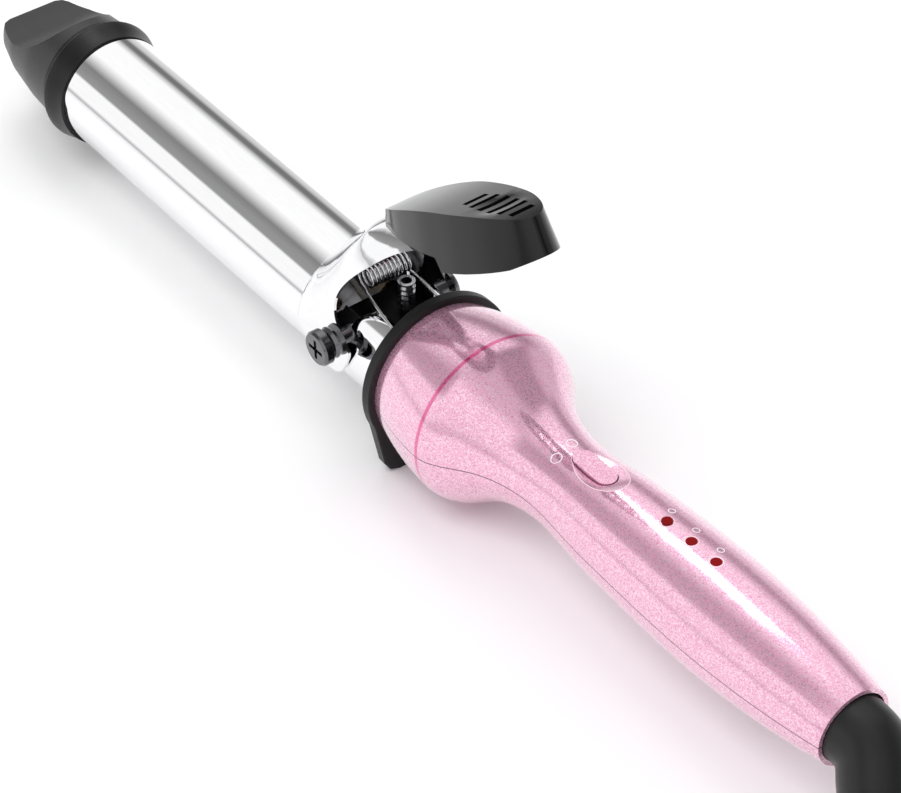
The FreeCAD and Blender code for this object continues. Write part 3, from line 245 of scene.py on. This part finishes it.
FINISHES = {
    "tip_cap": cap_grey, "tip_flange": flange_black, "tip_plug": inner_plastic, "tip_screw": steel,
    "barrel_tube": chrome, "heat_core_upper": aluminium, "heat_core_lower": aluminium,
    "heater_element": ceramic, "heater_film": film, "thermal_fuse": brass,
    "pivot_bracket": bracket_black, "pivot_bushings": gunmetal, "pivot_screws": gunmetal,
    "torsion_spring": spring_steel, "spring_post": steel, "stand_collar": collar_black,
    "handle_upper_shell": pink, "handle_lower_shell": pink, "handle_screws": steel,
    "barrel_holder": inner_plastic, "circuit_board": board_green, "power_switch": inner_plastic,
    "switch_plunger": bracket_black, "power_button": button_pink, "indicator_lights": lens_red,
    "swivel_bushing": inner_plastic, "swivel_drum": bracket_black, "slip_rings": brass,
    "contact_brushes": brass, "brush_holder": inner_plastic, "swivel_retainer": steel,
    "heater_leads": wire_sleeve, "power_leads": wire_sleeve, "cord_boot": rubber,
    "cord_tie": rubber, "plug_body": plug_rubber, "plug_blades": blade_metal,
    "clamp": chrome, "thumb_pad": pad_black, "pad_screws": steel,
}


def coat(thing, material):
    thing.data.materials.clear()
    thing.data.materials.append(material)


for name, material in FINISHES.items():
    coat(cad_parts[name], material)

# --- crisp edges -----------------------------------------------------------------------------


def crisp(name, body, material, bevel=0.0, angle=30):
    """A finished skin for a CAD node: welded, shaded with true edges, and rounded at them."""
    mesh = bmesh.new()
    mesh.from_mesh(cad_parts[name].data)
    bmesh.ops.remove_doubles(mesh, verts=mesh.verts, dist=2e-6)
    data = bpy.data.meshes.new(name + "_skin")
    mesh.to_mesh(data)
    mesh.free()
    if "custom_normal" in data.attributes:
        data.attributes.remove(data.attributes["custom_normal"])
    for polygon in data.polygons:
        polygon.use_smooth = True
    data.set_sharp_from_angle(angle=math.radians(angle))
    thing = bpy.data.objects.new(name + "_skin", data)
    bpy.context.scene.collection.objects.link(thing)
    coat(thing, material)
    if bevel:
        round_edges = thing.modifiers.new("round_edges", "BEVEL")
        round_edges.width = bevel * 0.001
        round_edges.segments = 2
        round_edges.limit_method = "ANGLE"
        round_edges.angle_limit = math.radians(angle)
        round_edges.harden_normals = False
    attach(thing, body)
    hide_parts(name)
    return thing


crisp("handle_upper_shell", "iron", pink, angle=14)
crisp("handle_lower_shell", "iron", pink, angle=14)
crisp("thumb_pad", "clamp_lever", pad_black, 0.3)
crisp("tip_cap", "iron", cap_grey, 0.25)
crisp("tip_flange", "iron", flange_black, 0.15)
crisp("stand_collar", "iron", collar_black, 0.3)
crisp("power_button", "button", button_pink, 0.25)
crisp("clamp", "clamp_lever", chrome)
crisp("pivot_screws", "iron", gunmetal, 0.1)
crisp("pivot_bushings", "iron", gunmetal, 0.1)
crisp("plug_body", "swivel", plug_rubber, 0.4)

# --- the lead --------------------------------------------------------------------------------

CORD_RADIUS = 3.3
TURN = 2 * CORD_RADIUS
FLOOR = -25.4
COIL_FLOOR = FLOOR + 0.8
COIL_CENTRE = Vector((253, -26, COIL_FLOOR))
PLUG_AXIS = 2 * TURN + 8.0
POINTS_PER_TURN = 20
TURNS = 6.15
FIRST_TURN_RADIUS = 45.9
ENTRY = math.radians(-138.2)

lead = [
    (153.9, 0, 0), (162, 0, -1.2), (175, -9.5, -11.0), (188, -24, -18.5),
    (201, -38.5, FLOOR + CORD_RADIUS),
]
# Where the tail leaves the upper turns, curls in over them and meets the plug, from the
# coil's centre.
tail = [
    (13.4, -36.9, 3 * CORD_RADIUS), (21.9, -33.8, 3.2 * CORD_RADIUS), (31.1, -24.0, 3.9 * CORD_RADIUS),
    (35.0, -11.1, 4.9 * CORD_RADIUS), (32.7, 2.2, 5.8 * CORD_RADIUS), (24.6, 13.0, 6.3 * CORD_RADIUS),
    (12.5, 19.1, PLUG_AXIS), (2.5, 19.1, PLUG_AXIS),
]


def ease(value, start, end):
    """0 before start, 1 after end, and smooth between them."""
    share = min(1.0, max(0.0, (value - start) / (end - start)))
    return share * share * (3 - 2 * share)


def coil_points():
    """Four turns wound inwards on the table, then turns wound outwards on top of them."""
    points = []
    steps = int(TURNS * POINTS_PER_TURN)
    for i in range(steps + 1):
        turns = i / POINTS_PER_TURN
        inwards = ease(turns, 0.6, 1) + ease(turns, 1.6, 2) + ease(turns, 2.6, 3)
        outwards = ease(turns, 4.2, 4.6) + ease(turns, 5.2, 5.6)
        radius = FIRST_TURN_RADIUS + TURN * (outwards - inwards)
        angle = ENTRY + 2 * math.pi * turns
        height = CORD_RADIUS + TURN * ease(turns, 3.55, 3.85)
        points.append((radius * math.cos(angle), radius * math.sin(angle), height))
    return points


def on_coil(points):
    return [tuple(COIL_CENTRE + Vector(point)) for point in points]


def spline_tube(name, points, radius, material):
    """A round tube on one smooth line."""
    data = bpy.data.curves.new(name, "CURVE")
    data.dimensions = "3D"
    line = data.splines.new("NURBS")
    line.points.add(len(points) - 1)
    for control, point in zip(line.points, points):
        control.co = (*at(*point), 1.0)
    line.order_u = 3
    line.use_endpoint_u = True
    line.resolution_u = 8
    data.bevel_depth = radius * 0.001
    data.bevel_resolution = 6
    data.use_fill_caps = True
    thing = bpy.data.objects.new(name, data)
    bpy.context.scene.collection.objects.link(thing)
    data.materials.append(material)
    return thing


cord = spline_tube("supply_cord", lead + on_coil(coil_points() + tail), CORD_RADIUS, rubber)
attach(cord, "swivel")
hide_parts("cord_lead", "cord_coil", "cord_tail")

# --- the clamp's spring -----------------------------------------------------------------------

SPRING_X, SPRING_Z = -22.6, 19.2
SPRING_RADIUS = 2.9
SPRING_HALF = 6.3
SPRING_TURNS = 10
SPRING_POINTS_PER_TURN = 12
SPRING_WIRE = 0.42


def spring_points():
    """A leg from the collar, the turns across the iron, and the far leg back to the collar."""
    near_leg = [(-4.0, -8.6, 12.2), (-9.0, -8.3, 13.4), (-15.0, -7.8, 14.9), (-20.0, -7.1, 16.1)]
    far_leg = [(-19.6, 6.9, 16.4), (-15.0, 7.2, 15.4), (-9.0, 7.4, 14.2), (-4.0, 7.5, 13.2)]
    turns = []
    steps = SPRING_TURNS * SPRING_POINTS_PER_TURN
    for i in range(steps + 1):
        angle = 2 * math.pi * i / SPRING_POINTS_PER_TURN - math.pi / 2
        back = SPRING_X - SPRING_RADIUS * math.cos(angle)
        across = -SPRING_HALF + 2 * SPRING_HALF * i / steps
        turns.append((back, across, SPRING_Z + SPRING_RADIUS * math.sin(angle)))
    return near_leg + turns + far_leg


spring = spline_tube("closing_spring", spring_points(), SPRING_WIRE, spring_steel)
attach(spring, "iron")
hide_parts("torsion_spring")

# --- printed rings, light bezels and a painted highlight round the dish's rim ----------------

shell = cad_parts["handle_upper_shell"].data
shell_tree = BVHTree.FromPolygons(
    [vertex.co for vertex in shell.vertices], [polygon.vertices for polygon in shell.polygons]
)
WELL_ABOVE = 60
SHELL_TOP = 16


def drop(x, y):
    """The place on the handle's upper shell under a point seen from above, and its normal."""
    hit, up, _, _ = shell_tree.ray_cast(at(x, y, WELL_ABOVE), Vector((0, 0, -1)))
    if hit is None:
        hit, up, _, _ = shell_tree.find_nearest(at(x, y, SHELL_TOP))
    return hit, up


def even(radius):
    """The reach of a true circle."""
    return lambda turn: radius


def dish_reach(turn):
    """How far the dish round the button goes in one direction: where its ball leaves the shell."""
    reach = 12.0
    while reach > 3.0:
        hit, _ = drop(SWITCH_X + reach * math.cos(turn), reach * math.sin(turn))
        ball = DISH_FLOOR + DISH_RADIUS - math.sqrt(DISH_RADIUS**2 - reach**2)
        if (hit.z - JOINT.z) * 1000 > ball - 0.03:
            break
        reach -= 0.05
    return reach


def surface_ring(mesh, x, y, reach, thickness, sides=48, around=8):
    """A thin ring laid on the handle's upper shell, round a point given from above."""
    rows = []
    for i in range(sides):
        turn = 2 * math.pi * i / sides
        out = Vector((math.cos(turn), math.sin(turn), 0))
        hit, up = drop(x + reach(turn) * out.x, y + reach(turn) * out.y)
        row = []
        for j in range(around):
            roll = 2 * math.pi * j / around
            offset = out * math.cos(roll) * thickness + up * math.sin(roll) * thickness * 0.35
            row.append(mesh.verts.new(hit + offset * 0.001))
        rows.append(row)
    for i in range(sides):
        ahead_row = rows[(i + 1) % sides]
        for j in range(around):
            after = (j + 1) % around
            mesh.faces.new((rows[i][j], ahead_row[j], ahead_row[after], rows[i][after]))


def ring_piece(name, rings, material):
    mesh = bmesh.new()
    for x, y, reach, thickness in rings:
        surface_ring(mesh, x, y, reach, thickness)
    bmesh.ops.recalc_face_normals(mesh, faces=mesh.faces)
    data = bpy.data.meshes.new(name)
    mesh.to_mesh(data)
    mesh.free()
    for polygon in data.polygons:
        polygon.use_smooth = True
    thing = bpy.data.objects.new(name, data)
    bpy.context.scene.collection.objects.link(thing)
    data.materials.append(material)
    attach(thing, "iron")
    return thing


# Stations of the three lights and the switch; the height and radius of the dish's ball.
LIGHTS = (89.8, 98.6, 107.3)
SWITCH_X = 63.0
DISH_FLOOR = 11.2
DISH_RADIUS = 26.0
print_white = moulded("print_white", (0.86, 0.80, 0.84), 0.4)
bezel_and_rim_highlight_pink = moulded("bezel_and_rim_highlight_pink", (0.90, 0.62, 0.70), 0.25, 900.0, 0.0, 0.5)
marks = [(53.8, -4.4, even(1.35), 0.16), (52.6, 1.2, even(1.35), 0.16)]
marks += [(x - 2.6, 3.6, even(0.85), 0.13) for x in LIGHTS]
ring_piece("printed_rings", marks, print_white)
ring_piece("light_bezels", [(x, 0, even(1.75), 0.16) for x in LIGHTS], bezel_and_rim_highlight_pink)
# A pale ring along the dish's edge: a painted highlight where the rim catches the light.
ring_piece("dish_rim_highlight", [(SWITCH_X, 0, dish_reach, 0.14)], bezel_and_rim_highlight_pink)

# --- floor and light -------------------------------------------------------------------------

HALF = 6.0
floor_corners = [(-HALF, -HALF, 0), (HALF, -HALF, 0), (HALF, HALF, 0), (-HALF, HALF, 0)]
floor_mesh = bpy.data.meshes.new("floor")
floor_mesh.from_pydata(floor_corners, [], [(0, 1, 2, 3)])
floor = bpy.data.objects.new("floor", floor_mesh)
bpy.context.scene.collection.objects.link(floor)
paper, paper_tree, paper_shader = new_material("paper")
paper_shader.inputs["Base Color"].default_value = (0.88, 0.88, 0.88, 1)
paper_shader.inputs["Roughness"].default_value = 0.85
coat(floor, paper)

# The studio: bright and grey panels all round the barrel's axis, given by their angle from
# straight up (negative towards -Y) and their brightness.
PANELS = (
    (-180, 0.95), (-146, 0.95), (-104, 0.98), (-97, 0.52), (-88, 0.55), (-83, 1.04), (-56, 1.04),
    (-52, 0.34), (-28, 0.24), (-9, 0.85), (0, 1.08), (44, 1.06), (54, 0.60), (61, 0.20), (70, 0.19),
    (78, 0.60), (87, 0.76), (110, 0.42), (126, 0.66), (145, 0.90), (180, 0.95),
)
# The panels on the side that the handle's front slope looks at, where +X is ahead.
FRONT_PANELS = (
    (-180, 0.80), (-112, 0.42), (-90, 0.46), (-76, 0.98), (-45, 1.08), (-30, 1.02), (-20, 0.62),
    (14, 0.52), (24, 0.16), (56, 0.16), (64, 0.55), (100, 0.62), (122, 0.90), (180, 0.80),
)
world = bpy.data.worlds.new("studio")
bpy.context.scene.world = world
world.use_nodes = True
world_tree = world.node_tree
background = world_tree.nodes["Background"]
direction = node(world_tree, "ShaderNodeTexCoord")
split = node(world_tree, "ShaderNodeSeparateXYZ")
world_tree.links.new(direction.outputs["Generated"], split.inputs["Vector"])
turn = node(world_tree, "ShaderNodeMath", operation="ARCTAN2")
world_tree.links.new(split.outputs["Y"], turn.inputs[0])
world_tree.links.new(split.outputs["Z"], turn.inputs[1])
share = node(world_tree, "ShaderNodeMapRange")
share.inputs["From Min"].default_value = -math.pi
share.inputs["From Max"].default_value = math.pi
world_tree.links.new(turn.outputs[0], share.inputs["Value"])


def panel_ring(stops):
    """Panels as a ring of greys round the barrel's axis."""
    greys = [((angle + 180) / 360, grey(level)) for angle, level in stops]
    return ramp(world_tree, share.outputs["Result"], greys)


panels = panel_ring(PANELS)
front_panels = panel_ring(FRONT_PANELS)
ahead = node(world_tree, "ShaderNodeMapRange", interpolation_type="SMOOTHSTEP")
ahead.inputs["From Min"].default_value = -0.22
ahead.inputs["From Max"].default_value = 0.04
world_tree.links.new(split.outputs["X"], ahead.inputs["Value"])
all_round = node(world_tree, "ShaderNodeMix", data_type="RGBA")
world_tree.links.new(ahead.outputs["Result"], all_round.inputs["Factor"])
world_tree.links.new(panels, all_round.inputs["A"])
world_tree.links.new(front_panels, all_round.inputs["B"])
rays = node(world_tree, "ShaderNodeLightPath")
seen = node(world_tree, "ShaderNodeMix", data_type="RGBA")
world_tree.links.new(rays.outputs["Is Glossy Ray"], seen.inputs["Factor"])
seen.inputs["A"].default_value = (0.97, 0.97, 0.98, 1)
world_tree.links.new(all_round.outputs["Result"], seen.inputs["B"])
world_tree.links.new(seen.outputs["Result"], background.inputs["Color"])
background.inputs["Strength"].default_value = 1.0


def soft_light(name, place, target, size, power):
    data = bpy.data.lights.new(name, "AREA")
    data.shape = "RECTANGLE"
    data.size, data.size_y = size
    data.energy = power
    thing = bpy.data.objects.new(name, data)
    bpy.context.scene.collection.objects.link(thing)
    thing.location = place
    thing.rotation_mode = "QUATERNION"
    thing.rotation_quaternion = (Vector(target) - Vector(place)).to_track_quat("-Z", "Y")
    return thing


key = soft_light("key", (0.2, -0.6, 1.3), (0.05, 0, 0.03), (0.9, 0.6), 6.0)
key.visible_glossy = False
soft_light("strip", (-0.38, 0.143, 0.84), (0.14, 0, 0.04), (0.26, 0.46), 0.9)
